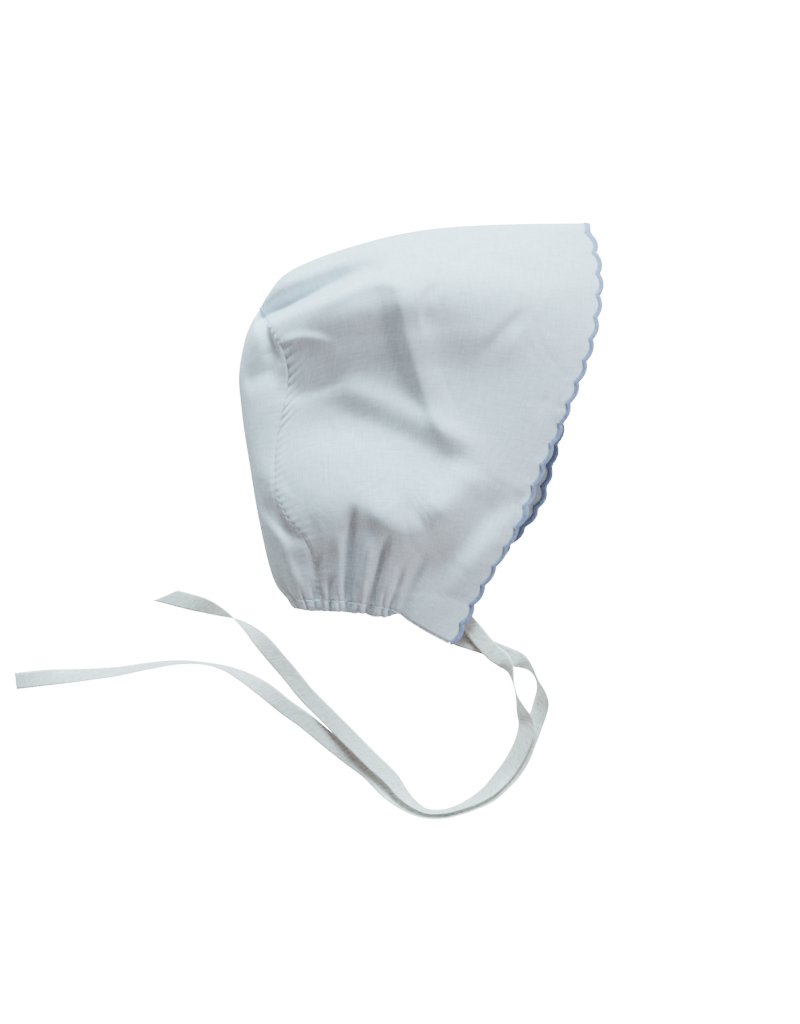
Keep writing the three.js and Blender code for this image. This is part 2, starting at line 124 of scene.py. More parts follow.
# Their routes. Each row: x and y in millimetres, roll in degrees (0 flat, 90 on edge) and how
# far the lowest edge is off the table in millimetres.
nearTieRoute = [
    [9.5, -80.7, 0, 4.4], [12.8, -82.9, 0, 1.9], [15.6, -84.4, 0, 0.1], [20, -85.8, 0, 0],
    [24, -87.1, 0, 0], [28, -88.4, 0, 0], [33, -90.5, 0, 0], [38, -92.5, 0, 0],
    [42.5, -94.5, 40, 0], [46, -97.5, 75, 0], [48.5, -102, 85, 0], [50, -107, 60, 0],
    [50, -113, 15, 0], [48, -119.5, 0, 0], [45, -127.5, 0, 0], [42, -135, 0, 0],
    [38.5, -140.5, 8, 0], [34, -145.5, 25, 0], [29, -150.5, 45, 0], [23.5, -154, 62, 0],
    [17, -157, 75, 0], [10, -159, 80, 0], [2.5, -159, 78, 0], [-3.5, -157, 70, 0],
    [-9, -153.5, 55, 0], [-15, -148, 30, 0], [-21.5, -141, 10, 0], [-30, -134.5, 0, 0],
    [-39.5, -127, 0, 0], [-48.5, -119.5, 0, 0], [-57.5, -113, 0, 0], [-65.5, -106.5, 20, 0],
    [-74, -101, 50, 0], [-82.5, -97, 75, 0], [-91, -95, 85, 0], [-101.5, -94.5, 80, 0],
    [-114, -96, 70, 0], [-128.5, -98.5, 60, 0], [-143.5, -100, 45, 0], [-157, -101, 20, 0],
    [-170.5, -102.5, 0, 0],
]
farTieRoute = [
    [12, -71.5, 0, 1.6], [16.3, -75.2, 0, 1.8], [20.8, -79.8, 0, 1.8], [25.5, -85.5, 0, 1.7],
    [30, -90.5, 0, 1.7], [34, -93.5, 20, 1.9], [37, -97.5, 65, 0.8], [38.5, -103, 88, 0],
    [40, -109, 85, 0], [42, -115, 55, 0], [44, -120.5, 20, 0.8], [43, -126.5, 3, 1.4],
    [40.5, -132.5, 0, 1.4], [37, -138.5, 5, 1.4], [33, -143.5, 22, 1.1], [28, -148.5, 45, 0.8],
    [22, -152.5, 62, 0.5], [16, -155.2, 75, 0], [9.5, -157, 80, 0], [2.5, -157, 78, 0],
    [-2.5, -154.5, 68, 0.4], [-7.5, -150, 50, 0.9], [-13, -143, 30, 1.4], [-21, -135.5, 18, 1.5],
    [-30, -126.5, 10, 1.5], [-40, -116.5, 0, 1.3], [-48.5, -108, 0, 0.5], [-55, -100, 0, 0],
    [-61, -93, 0, 0], [-67, -86, 25, 0], [-72.5, -80.5, 60, 0], [-78, -76.5, 88, 0],
    [-84, -73.5, 120, 0], [-90.5, -71, 150, 0], [-98, -69, 172, 0], [-107.5, -66.5, 180, 0],
]


def sheetMesh(name, points, uv, thickness):
    # A walled sheet round a grid of points, with its UV in metres of cloth
    rows, columns = points.shape[:2]
    index = np.arange(rows * columns).reshape(rows, columns)
    faces = np.stack([index[:-1, :-1], index[1:, :-1], index[1:, 1:], index[:-1, 1:]], -1).reshape(-1, 4)
    mesh = bpy.data.meshes.new(name)
    mesh.from_pydata(points.reshape(-1, 3).tolist(), [], faces.tolist())
    layer = mesh.uv_layers.new(name="cloth")
    flat = uv.reshape(-1, 2)[faces.reshape(-1)]
    layer.data.foreach_set("uv", flat.astype(np.float32).reshape(-1))
    mesh.validate()
    piece = addPiece(name, mesh)
    wall = piece.modifiers.new("wall", "SOLIDIFY")
    wall.thickness = thickness
    wall.offset = 0
    selectOnly(piece)
    bpy.ops.object.modifier_apply(modifier=wall.name)
    return piece


def addPiece(name, mesh):
    mesh.polygons.foreach_set("use_smooth", [True] * len(mesh.polygons))
    piece = bpy.data.objects.new(name, mesh)
    bpy.context.collection.objects.link(piece)
    return piece


def selectOnly(piece):
    bpy.ops.object.select_all(action="DESELECT")
    bpy.context.view_layer.objects.active = piece
    piece.select_set(True)


def moveVertices(piece, change):
    # Every vertex goes where the given function puts it
    points = np.zeros(len(piece.data.vertices) * 3)
    piece.data.vertices.foreach_get("co", points)
    piece.data.vertices.foreach_set("co", change(points.reshape(-1, 3)).reshape(-1))
    piece.data.update()


def sweepMesh(name, middles, sides, ups, profile):
    # A closed profile of (side, up) offsets carried along a path, with flat ends
    profile = np.asarray(profile, float)
    if profile.ndim == 2:
        profile = np.broadcast_to(profile, (len(middles),) + profile.shape)
    points = (middles[:, None] + sides[:, None] * profile[..., :1] + ups[:, None] * profile[..., 1:])
    count, ring = points.shape[:2]
    index = np.arange(count * ring).reshape(count, ring)
    turned = np.roll(index, -1, axis=1)
    faces = np.stack([index[:-1], index[1:], turned[1:], turned[:-1]], -1).reshape(-1, 4).tolist()
    faces += [index[0].tolist(), index[-1][::-1].tolist()]
    mesh = bpy.data.meshes.new(name)
    mesh.from_pydata(points.reshape(-1, 3).tolist(), [], faces)
    layer = mesh.uv_layers.new(name="cloth")
    run = runLengths(middles)
    around = np.concatenate([np.zeros((count, 1)), np.cumsum(np.linalg.norm(np.diff(
        points, axis=1), axis=2), axis=1)], axis=1)
    uv = np.stack([np.broadcast_to(run[:, None], around.shape), around], -1).reshape(-1, 2)
    loops = np.zeros(len(mesh.loops), int)
    mesh.loops.foreach_get("vertex_index", loops)
    layer.data.foreach_set("uv", uv[loops].astype(np.float32).reshape(-1))
    piece = addPiece(name, mesh)
    faceOutward(piece)
    return piece


def faceOutward(piece):
    selectOnly(piece)
    bpy.ops.object.mode_set(mode="EDIT")
    bpy.ops.mesh.select_all(action="SELECT")
    bpy.ops.mesh.normals_make_consistent(inside=False)
    bpy.ops.object.mode_set(mode="OBJECT")


def tiePath(route, steps):
    rows = np.asarray(route, float)
    places = runLengths(rows[:, :2])
    at = np.linspace(0, places[-1], steps + 1)
    x, y, roll, lift = along(rows, places, at).T
    step = tieData["lookAhead"]
    ahead = along(rows, places, at + step)[:, :2] - along(rows, places, at - step)[:, :2]
    forward = unit(np.stack([ahead[:, 0], ahead[:, 1], np.zeros(len(at))], -1))
    left = np.stack([-forward[:, 1], forward[:, 0], np.zeros(len(at))], -1)
    turn = np.radians(roll)[:, None]
    up = np.array([0, 0, 1.0])
    side = left * np.cos(turn) + up * np.sin(turn)
    facing = up * np.cos(turn) - left * np.sin(turn)
    rise = np.maximum(lift, 0) * mm + (tieData["width"] * np.abs(np.sin(turn[:, 0]))
                                      + tieData["thickness"] * np.abs(np.cos(turn[:, 0]))) / 2
    middle = np.stack([x * mm, y * mm, rise], -1)
    return middle, side, facing, forward


def addTie(name, route, slant):
    middle, side, facing, forward = tiePath(route, tieData["steps"])
    half = tieData["width"] / 2
    across = np.linspace(-1, 1, tieData["across"] + 1)
    edge = smooth((np.abs(across) - tieData["edgeFrom"]) / tieData["edgeRun"])
    thick = tieData["thickness"] / 2 * (1 + tieData["edgeExtra"] * edge)
    top = np.stack([across * half, thick], -1)
    bottom = np.stack([across[::-1] * half, -thick[::-1]], -1)
    profile = np.concatenate([top, bottom])
    piece = sweepMesh(name, middle, side, facing, profile)
    # the cut end slants across the ribbon
    share = np.linspace(0, 1, len(middle))
    push = slant * smooth((share - tieData["slantFrom"]) / (1 - tieData["slantFrom"]))
    shift = forward[:, None] * (profile[None, :, :1] / half) * push[:, None, None]
    moveVertices(piece, lambda points: points - shift.reshape(-1, 3))
    return piece, middle


nearTie, nearTiePath = addTie("nearTie", nearTieRoute, 0)
farTie, farTiePath = addTie("farTie", farTieRoute, tieData["slant"])
print("ties laid")


# Outlines of the side panel as it lies: x is a share of the length from the back,
# y a share of the height from the neck corner.
length = -2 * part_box("back_panel")[0][0]
height = 2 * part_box("main_panel")[1][1]
restLevel = 0.6 * mm
turnDepth = 1.1  # how far the turn over the head reaches in, in shares of half its rise
clothThickness = 0.5 * mm
nearFaceEdge = [
    [0.576, 0.021], [0.645, 0.127], [0.74, 0.265], [0.814, 0.411], [0.892, 0.568],
    [0.956, 0.721], [0.978, 0.845], [0.967, 0.934], [0.939, 0.998],
]
farFaceEdge = [
    [0.568, 0.099], [0.64, 0.164], [0.74, 0.258], [0.812, 0.34], [0.842, 0.423],
    [0.884, 0.552], [0.939, 0.7], [0.967, 0.84], [0.961, 0.934], [0.939, 0.998],
]
topFold = [
    [0.939, 0.998], [0.773, 0.996], [0.579, 0.988], [0.44, 0.971], [0.302, 0.94],
    [0.191, 0.906], [0.119, 0.872], [0.075, 0.824], [0.057, 0.796],
]
nearNeckEdge = [
    [0.576, 0.021], [0.518, 0.047], [0.468, 0.073], [0.429, 0.096], [0.363, 0.107],
    [0.288, 0.117], [0.216, 0.121],
]
farNeckEdge = [
    [0.568, 0.099], [0.5, 0.105], [0.43, 0.11], [0.36, 0.114], [0.288, 0.118], [0.216, 0.121],
]
nearSeam = [
    [0.216, 0.121], [0.208, 0.174], [0.197, 0.228], [0.175, 0.265], [0.13, 0.31],
    [0.102, 0.369], [0.102, 0.458], [0.114, 0.528], [0.133, 0.599], [0.134, 0.653],
    [0.111, 0.709], [0.083, 0.756], [0.057, 0.796],
]
farSeam = [
    [0.216, 0.121], [0.222, 0.2], [0.212, 0.3], [0.2, 0.4], [0.19, 0.5], [0.175, 0.6],
    [0.145, 0.69], [0.1, 0.75], [0.057, 0.796],
]
crownFold = [
    [0.133, 0.12], [0.102, 0.153], [0.083, 0.197], [0.066, 0.258], [0.047, 0.34],
    [0.03, 0.43], [0.014, 0.514], [0.004, 0.587], [0, 0.634], [0.006, 0.681],
    [0.022, 0.739], [0.042, 0.777], [0.057, 0.796],
]

# Height of the near layer in millimetres, judged from the photo's shading: a row is a
# section from the face edge to the back seam, at its share of the way from the neck to the fold.
sectionPlaces = [0, 0.15, 0.35, 0.55, 0.78, 1]
sectionRows = [
    [0, 6, 8, 10.5, 12.5, 13.5, 13.5],
    [0.1, 8.5, 12.5, 17, 21.5, 21.5, 19],
    [0.2, 11.5, 17.5, 24, 29.5, 28.5, 23.5],
    [0.3, 13.5, 20.5, 28.5, 34, 33, 27],
    [0.42, 15.5, 22, 29, 32, 31.5, 28.5],
    [0.54, 17.5, 24, 29, 29.5, 27.8, 28.3],
    [0.64, 18.5, 26, 31.5, 33.5, 30.2, 29.3],
    [0.74, 18.5, 28, 38, 41, 38.6, 31],
    [0.84, 16, 27, 39, 46.8, 46, 34],
    [0.92, 12, 19.5, 29.5, 38, 38.5, 33],
    [1, 6.5, 8.5, 12, 17, 21, 24],
]

# Folds of the near layer as seen in the photo: from, by and to in its pixels, reach to the left
# and right in pixels, and height in millimetres, negative for a valley.
panelFolds = {
    "upper hollow": [364, 250, 384, 338, 406, 430, 10, 34, -1.5],
    "hollow brow": [300, 326, 366, 291, 412, 296, 14, 8, 1.7],
    "long ridge": [396, 262, 411, 350, 440, 430, 26, 8, 2.7],
    "ridge foot": [400, 318, 420, 390, 462, 462, 20, 8, 1.9],
    "soft hook": [446, 290, 424, 306, 434, 352, 12, 4, -1.1],
    "short crease": [528, 308, 500, 335, 466, 368, 10, 5, -1.0],
    "front band": [430, 248, 502, 268, 566, 290, 10, 12, -0.9],
    "back hollow": [206, 340, 298, 304, 398, 258, 16, 7, -19],
    "seam pleat": [283, 352, 305, 341, 347, 352, 5, 9, 1.3],
    "pleat hollow": [283, 402, 315, 391, 356, 379, 18, 8, -2.5],
    "second ridge": [296, 378, 402, 412, 514, 478, 12, 15, 2.1],
    "second hollow": [302, 404, 404, 442, 518, 496, 17, 32, -2.8],
    "left belly rim": [280, 510, 314, 542, 352, 502, 20, 13, 1.8],
    "belly rim": [362, 484, 398, 530, 450, 518, 20, 12, 3.0],
    "belly shoulder": [420, 528, 454, 498, 484, 450, 22, 25, 5.2],
    "front valley": [510, 480, 462, 536, 395, 606, 18, 30, -3.8],
    "front ridge": [528, 505, 488, 545, 440, 606, 16, 12, 1.4],
    "neck gather 1": [356, 500, 353, 560, 348, 640, 4, 7, -4.4],
    "neck gather 2": [390, 528, 379, 575, 364, 640, 3, 6, -3.4],
    "neck gather 3": [318, 546, 320, 580, 322, 640, 3, 4, -1.8],
    "neck gather 4": [334, 572, 332, 592, 330, 640, 3, 3, -1.4],
    "neck gather 5": [405, 558, 394, 595, 384, 640, 4, 4, -1.8],
    "neck gather 6": [430, 550, 410, 585, 396, 640, 6, 6, -1.6],
    "gather ridge 1": [373, 530, 366, 570, 358, 640, 5, 5, 1.6],
    "gather ridge 2": [340, 530, 340, 570, 338, 640, 5, 5, 1.4],
    "lower dimple": [516, 488, 514, 512, 504, 540, 4, 5, -1.2],
    "upper dimple": [560, 412, 550, 432, 540, 456, 6, 6, -0.8],
}
foldCurve = {"pieces": 12, "fade": 0.32}


def outline(table):
    rows = (np.asarray(table) - 0.5) * [length, height]
    places = runLengths(rows)
    return lambda share: along(rows, places, share * places[-1])


nearSides = {"face": outline(nearFaceEdge), "seam": outline(nearSeam), "neck": outline(nearNeckEdge)}
farSides = {"face": outline(farFaceEdge), "seam": outline(farSeam), "neck": outline(farNeckEdge)}
foldLine = outline(topFold)
crownLine = outline(crownFold)


def inside(sides, a, v):
    # A place inside four edge curves: a from neck to fold, v from face edge to seam
    face, seam, neck, fold = sides["face"](a), sides["seam"](a), sides["neck"](v), foldLine(v)
    a = a[..., None]
    v = v[..., None]
    zero, one = np.array(0.0), np.array(1.0)
    return ((1 - v) * face + v * seam + (1 - a) * neck + a * fold
            - (1 - a) * ((1 - v) * sides["neck"](zero) + v * sides["neck"](one))
            - a * ((1 - v) * foldLine(zero) + v * foldLine(one)))


def sectionHeight(a, v):
    # Height of the plain near layer, between the sections of the table
    table = np.asarray(sectionRows)
    places = table[:, 0]
    heights = along(table[:, 1:].T, sectionPlaces, v).reshape(-1, len(table)).T  # each section's, at v
    slopes = slopesOf(heights, places)
    i, span, t = stretchAt(places, np.broadcast_to(a, v.shape).reshape(-1))
    n = np.arange(v.size)
    out = cubic(heights[i, n], heights[i + 1, n], slopes[i, n], slopes[i + 1, n], span, t)
    return mm * out.reshape(v.shape)


def foldHeight(fold, x, y):
    # A ridge or valley along a curve through three places, dying out at both ends
    wide, high = photo["right"] - photo["left"], photo["bottom"] - photo["top"]
    seen = np.reshape(fold[:6], (3, 2))
    shares = np.stack([(seen[:, 0] - photo["left"]) / wide, (photo["bottom"] - seen[:, 1]) / high], -1)
    start, by, end = (shares - 0.5) * [length, height]
    pull = 2 * by - (start + end) / 2
    pieces = foldCurve["pieces"]
    t = np.linspace(0, 1, pieces + 1)[:, None]
    line = (1 - t) ** 2 * start + 2 * t * (1 - t) * pull + t * t * end
    nearest = np.full(x.shape, np.inf)
    place = np.zeros(x.shape)
    side = np.zeros(x.shape)
    for i in range(pieces):
        d = line[i + 1] - line[i]
        share = np.clip(((x - line[i][0]) * d[0] + (y - line[i][1]) * d[1]) / (d @ d), 0, 1)
        offX, offY = x - line[i][0] - share * d[0], y - line[i][1] - share * d[1]
        distance = np.hypot(offX, offY)
        closer = distance < nearest
        nearest = np.where(closer, distance, nearest)
        place = np.where(closer, (i + share) / pieces, place)
        side = np.where(closer, d[0] * offY - d[1] * offX, side)
    reach = length / wide * np.where(side > 0, fold[6], fold[7])
    fade = smooth(place / foldCurve["fade"]) * smooth((1 - place) / foldCurve["fade"])
    return mm * fold[8] * fade * np.exp(-((nearest / reach) ** 2))


def panelPoints(u, v, plain=False):
    # The middle of the side panel's cloth; u from the near neck edge over the fold (0.5)
    # to the far neck edge, v from the face edge to the back seam
    far = u > 0.5
    t = np.where(far, 2 - 2 * u, 2 * u)
    top = sectionHeight(np.ones_like(v), v)
    level = (top + restLevel) / 2
    halfRise = level - restLevel
    depth = turnDepth * halfRise
    flatRun = height - depth
    flatShare = flatRun / (flatRun + math.pi / 4 * (depth + halfRise))
    angle = np.maximum(0, (t - flatShare) / (1 - flatShare)) * math.pi / 2
    a = np.where(angle > 0, 1 - depth / height * (1 - np.sin(angle)), t / flatShare * (1 - depth / height))
    xy = np.where(far[..., None], inside(farSides, a, v), inside(nearSides, a, v))
    x, y = xy[..., 0], xy[..., 1]
    z = sectionHeight(a, v)
    for fold in () if plain else panelFolds.values():
        z = z + foldHeight(fold, x, y)
    z = np.where(far, level - halfRise * np.cos(angle), level + (z - level) * np.cos(angle))
    return np.stack([x, y, z], -1)


# Small relief of the cloth, in metres along its normal

def valleys(at, places, reach):
    # Narrow valleys at the given places of a run, each 1 deep
    out = np.zeros_like(at)
    for place in places:
        out = np.maximum(out, np.exp(-((at - place) / reach) ** 2))
    return out


# Gathers of the neck in shares of the near neck edge, and of the crown's edge, strongest first.
# Each next one is shorter and shallower, and each leans a little and spreads as it climbs.
gathers = {"near": [0.8, 0.655, 0.92, 0.54, 0.71, 0.97, 0.49, 0.6, 0.855, 0.765],
           "crown": [0.06, 0.16, 0.28, 0.37, 0.52, 0.64, 0.78, 0.9],
           "reach": 0.0125, "depth": 1.1 * mm, "rise": 13 * mm, "longest": 1.25, "shorter": 0.09,
           "shallower": 0.05, "lean": 0.012, "leanTurn": 5, "narrow": 0.75, "spread": 0.9}
# Gathers beside the back seam in shares of its length up from the neck, fanned about one of
# them, and the ditch and small puckers of the seam itself
seamGathers = {"places": [0.62, 0.655, 0.69, 0.722, 0.75, 0.782, 0.815, 0.585, 0.55], "reach": 0.0095,
               "depth": 0.7 * mm, "run": 6.5 * mm, "fanMiddle": 0.7, "fanRun": 40 * mm,
               "ditch": 0.55 * mm, "ditchWidth": 1.3 * mm, "pucker": 0.16 * mm,
               "puckerPitch": 3.1 * mm, "puckerWander": 2, "puckerDrift": 9 * mm, "puckerReach": 3 * mm}
creases = {"count": 46, "seed": 7, "within": 0.42, "turn": 1.9, "turnSpread": 0.7, "depth": 0.28 * mm,
           "reach": 1.7 * mm, "reachShares": (0.6, 1.5), "run": 20 * mm, "runShares": (0.4, 1.1),
           "waver": 6 * mm, "waverRun": 12 * mm}


def neckGather(at, places, fromEdge):
    # Valleys reach up from the neck edge, each one for its own distance
    out = np.zeros_like(fromEdge)
    for i, place in enumerate(places):
        climb = gathers["rise"] * (gathers["longest"] - gathers["shorter"] * i)
        up = np.minimum(fromEdge / climb, 1)
        lean = place + gathers["lean"] * math.sin(gathers["leanTurn"] * i) * up
        reach = gathers["reach"] * (gathers["narrow"] + gathers["spread"] * up)
        valley = np.exp(-((at - lean) / reach) ** 2) * (1 - gathers["shallower"] * i)
        out = np.maximum(out, valley * smooth(1 - fromEdge / climb))
    return out


def seamDitch(fromSeam):
    return -seamGathers["ditch"] * np.exp(-(fromSeam / seamGathers["ditchWidth"]) ** 2)


def fineCreases(x, y):
    # Faint short creases, laid at random over the cloth, mostly running up and back
    luck = np.random.default_rng(creases["seed"])
    out = np.zeros_like(x)
    for i in range(creases["count"]):
        middle = luck.uniform([-creases["within"]] * 2, [creases["within"]] * 2) * [length, height]
        turn = luck.normal(creases["turn"], creases["turnSpread"])
        reach = creases["reach"] * luck.uniform(*creases["reachShares"])
        run = creases["run"] * luck.uniform(*creases["runShares"])
        depth = creases["depth"] * luck.uniform(-1, 1)
        dx, dy = x - middle[0], y - middle[1]
        ahead = dx * math.cos(turn) + dy * math.sin(turn)
        waver = creases["waver"] * np.sin(ahead / creases["waverRun"] + i)
        beside = dy * math.cos(turn) - dx * math.sin(turn) + waver
        out += depth * np.exp(-(ahead / run) ** 2 - (beside / reach) ** 2)
    return out


# The side panel: how finely it is divided, its scallops and how far its edge curls, in degrees
panel = {"nearRows": 212, "turnRows": 22, "farRows": 36, "turnFrom": 0.47, "turnTo": 0.53,
         "columns": 176, "crowding": 1.12, "edgeSteps": 2400, "edgeLook": 0.02,
         "scallopPitch": 9.4 * mm, "scallopDepth": 2.0 * mm, "scallopRound": 0.75, "lip": 1.1 * mm,
         "edgeCurl": 14, "curlStart": 0.12, "curlEnd": 0.4, "curlFade": 0.16, "easeFrom": 9 * mm,
         "easePower": 1.5, "creaseFade": 0.06, "uvColumn": 60, "uvDepth": 118 * mm}


def panelRows():
    near = np.linspace(0, panel["turnFrom"], panel["nearRows"], endpoint=False)
    turn = np.linspace(panel["turnFrom"], panel["turnTo"], panel["turnRows"], endpoint=False)
    far = np.linspace(panel["turnTo"], 1, panel["farRows"])
    return np.concatenate([near, turn, far])


def faceEdgePath():
    # The plain line of the face edge, near to far, with how it runs on and which way it faces
    u = np.linspace(0, 1, panel["edgeSteps"] + 1)
    zero = np.zeros_like(u)
    points = panelPoints(u, zero)
    past = unit(points - panelPoints(u, zero + panel["edgeLook"]))
    alongEdge = unit(np.gradient(points, axis=0))
    facing = unit(np.cross(alongEdge, -past))
    # it curls up over the near side's middle and lies flat at the corner and the fold
    curl = np.radians(panel["edgeCurl"]) * smooth(u / panel["curlStart"])
    curl = curl * smooth((panel["curlEnd"] - u) / panel["curlFade"])
    outward = past * np.cos(curl)[:, None] - facing * np.sin(curl)[:, None]
    turned = facing * np.cos(curl)[:, None] + past * np.sin(curl)[:, None]
    run = runLengths(points)
    count = round(run[-1] / panel["scallopPitch"])
    bulge = np.abs(np.sin(math.pi * run / run[-1] * count)) ** panel["scallopRound"]
    reach = panel["lip"] + panel["scallopDepth"] * bulge
    return {"u": u, "points": points, "outward": outward, "turned": turned, "reach": reach}


faceEdge = faceEdgePath()


def addSidePanel():
    u = panelRows()
    v = np.linspace(0, 1, panel["columns"] + 1) ** panel["crowding"]
    uu, vv = np.meshgrid(u, v, indexing="ij")
    points = panelPoints(uu, vv)
    normals = gridNormals(points)
    fromSeam = np.linalg.norm(points - points[:, -1:], axis=2)
    fromNeck = np.linalg.norm(points - points[:1], axis=2)
    upSeam = np.broadcast_to((2 * np.minimum(u, 1 - u))[:, None], uu.shape)
    near = (uu < 0.5) * 1.0
    # the gathers spread as they leave the seam
    fan = upSeam + (upSeam - seamGathers["fanMiddle"]) * fromSeam / seamGathers["fanRun"]
    relief = seamDitch(fromSeam)
    relief -= (seamGathers["depth"] * near * valleys(fan, seamGathers["places"], seamGathers["reach"])
               * np.exp(-(fromSeam / seamGathers["run"]) ** 2))
    seamRun = runLengths(points[:, -1])[:, None]
    wave = 2 * math.pi * seamRun / seamGathers["puckerPitch"]
    wave += seamGathers["puckerWander"] * np.sin(seamRun / seamGathers["puckerDrift"])
    relief += seamGathers["pucker"] * np.sin(wave) * np.exp(-fromSeam / seamGathers["puckerReach"])
    relief -= gathers["depth"] * near * neckGather(vv, gathers["near"], fromNeck)
    flatFold = smooth((1 - uu * 2) / panel["creaseFade"])
    relief += near * fineCreases(points[..., 0], points[..., 1]) * flatFold
    points = points + normals * relief[..., None]
    # the face edge runs out into the scallops over its last few millimetres
    outward = np.stack([np.interp(u, faceEdge["u"], faceEdge["outward"][:, k]) for k in range(3)], -1)
    reachOut = np.interp(u, faceEdge["u"], faceEdge["reach"])
    fromEdge = np.linalg.norm(points - points[:, :1], axis=2)
    ease = np.clip(1 - fromEdge / panel["easeFrom"], 0, 1) ** panel["easePower"]
    points = points + outward[:, None] * (reachOut[:, None] * ease)[..., None]
    points[..., 2] = np.maximum(points[..., 2], clothThickness / 2)
    down = np.broadcast_to(runLengths(points[:, panel["uvColumn"]])[:, None], uu.shape)
    across = np.broadcast_to(np.linspace(0, panel["uvDepth"], len(v)), uu.shape)
    return sheetMesh("sidePanel", points, np.stack([down, across], -1), clothThickness)


sidePanel = addSidePanel()
print("side panel made")


# The crown strip, and its folds told as those of the near layer
crown = {"rows": 170, "columns": 70, "top": 0.999, "level": 0.45, "blend": 0.25, "foldFrom": 0.03,
         "pucker": 0.6, "puckerReach": 2.5 * mm, "relief": 0.7, "shorter": 1.4, "calmTop": 0.04,
         "gatherFrom": 0.02, "gatherSpan": 0.9, "uvRun": 125 * mm, "uvAround": 70 * mm,
         "uvBeside": 200 * mm}
crownFolds = {
    "crown valley": [240, 462, 268, 510, 312, 548, 14, 8, -3.4],
    "hem crease": [258, 512, 276, 562, 300, 612, 7, 6, -2.6],
    "hem ridge": [270, 505, 286, 555, 308, 608, 7, 7, 1.6],
    "upper dent": [260, 316, 273, 342, 284, 374, 9, 9, -3.5],
    "back dent": [236, 388, 262, 374, 290, 368, 40, 14, -5.0],
}


def crownPoints(s, w):
    # The middle of the crown's cloth; s up from the neck, w round from the near seam (0)
    # through the crown's own fold (0.5) to the far seam. Folds die out at seam and fold.
    one = np.ones_like(s)
    near = panelPoints(s / 2, one)
    far = panelPoints(1 - s / 2, one)
    away = smooth(np.minimum(w, 1 - w) / crown["blend"])
    plain = panelPoints(s / 2, one, plain=True)[..., 2]
    near[..., 2] += (plain - near[..., 2]) * away
    line = crownLine(s)
    level = restLevel + crown["level"] * (near[..., 2] - restLevel)
    angle = math.pi * w
    start = np.where((angle < math.pi / 2)[..., None], near, far)
    swing = np.sin(angle)[..., None]
    xy = start[..., :2] + (line - start[..., :2]) * swing
    z = level + (start[..., 2] - level) * np.abs(np.cos(angle))
    shown = smooth(w / crown["foldFrom"]) * np.maximum(np.cos(angle), 0)
    for fold in crownFolds.values():
        z = z + foldHeight(fold, xy[..., 0], xy[..., 1]) * shown
    return np.concatenate([xy, z[..., None]], -1)


def crownGather(w, fromEdge):
    at = w * crown["gatherSpan"] + crown["gatherFrom"]
    return crown["relief"] * neckGather(at, gathers["crown"], fromEdge)


def addCrown():
    s = np.linspace(0, crown["top"], crown["rows"] + 1)
    w = np.linspace(0, 1, crown["columns"] + 1)
    ss, ww = np.meshgrid(s, w, indexing="ij")
    points = crownPoints(ss, ww)
    normals = gridNormals(points)
    ends = [np.linalg.norm(points - points[:, k:k + 1], axis=2) for k in (0, crown["columns"])]
    fromSeam = np.minimum(*ends)
    fromNeck = np.linalg.norm(points - points[:1], axis=2)
    relief = seamDitch(fromSeam)
    wave = 2 * math.pi * runLengths(points[:, 0])[:, None] / seamGathers["puckerPitch"]
    relief += (crown["pucker"] * seamGathers["pucker"] * np.sin(wave)
               * np.exp(-fromSeam / crown["puckerReach"]))
    relief -= gathers["depth"] * crownGather(ww, fromNeck * crown["shorter"])
    near = np.cos(math.pi * ww) * (ww < 0.5)
    relief += crown["relief"] * fineCreases(points[..., 0], points[..., 1]) * near
    points = points + normals * (relief * smooth((1 - ss) / crown["calmTop"]))[..., None]
    points[..., 2] = np.maximum(points[..., 2], clothThickness / 2)
    uv = np.stack([ss * crown["uvRun"], crown["uvBeside"] + ww * crown["uvAround"]], -1)
    return sheetMesh("crownPiece", points, uv, clothThickness)


crownPiece = addCrown()
print("crown made")


# The neck band, from the near front corner round the back to the far front corner: a plain
# turned hem in front, then a casing with elastic in it. Its gathers narrow it, press its
# padding down and sink into the cloth.
neckBand = {"width": 5.2 * mm, "hem": 0.9 * mm, "puff": 0.65 * mm, "hemPuff": 0.15,
            "panelSteps": 420, "crownSteps": 150, "panelLook": 0.012, "crownLook": 0.03,
            "elasticFrom": 0.4, "elasticEase": 0.12, "farGather": 0.5,
            "narrower": 0.09, "pressed": 0.55, "sink": 1.35, "low": 0.1 * mm}
# Across the band: the share of its width, and the height in shares of its padding
bandShape = np.array([
    [0, 0.25], [0.05, 0.5], [0.12, 0.62], [0.2, 0.72], [0.35, 1.05], [0.55, 1.2], [0.75, 1.1],
    [0.9, 0.75], [0.98, 0.3], [1, -0.1], [0.93, -0.6], [0.7, -0.95], [0.4, -1], [0.15, -0.75],
    [0, -0.3],
])
casingStitch = {"length": 2.3 * mm, "gap": 0.8 * mm, "thread": 0.34 * mm, "flatness": 0.8,
                "inward": 0.5 * mm, "lift": 0.55 * mm, "look": 0.4 * mm}


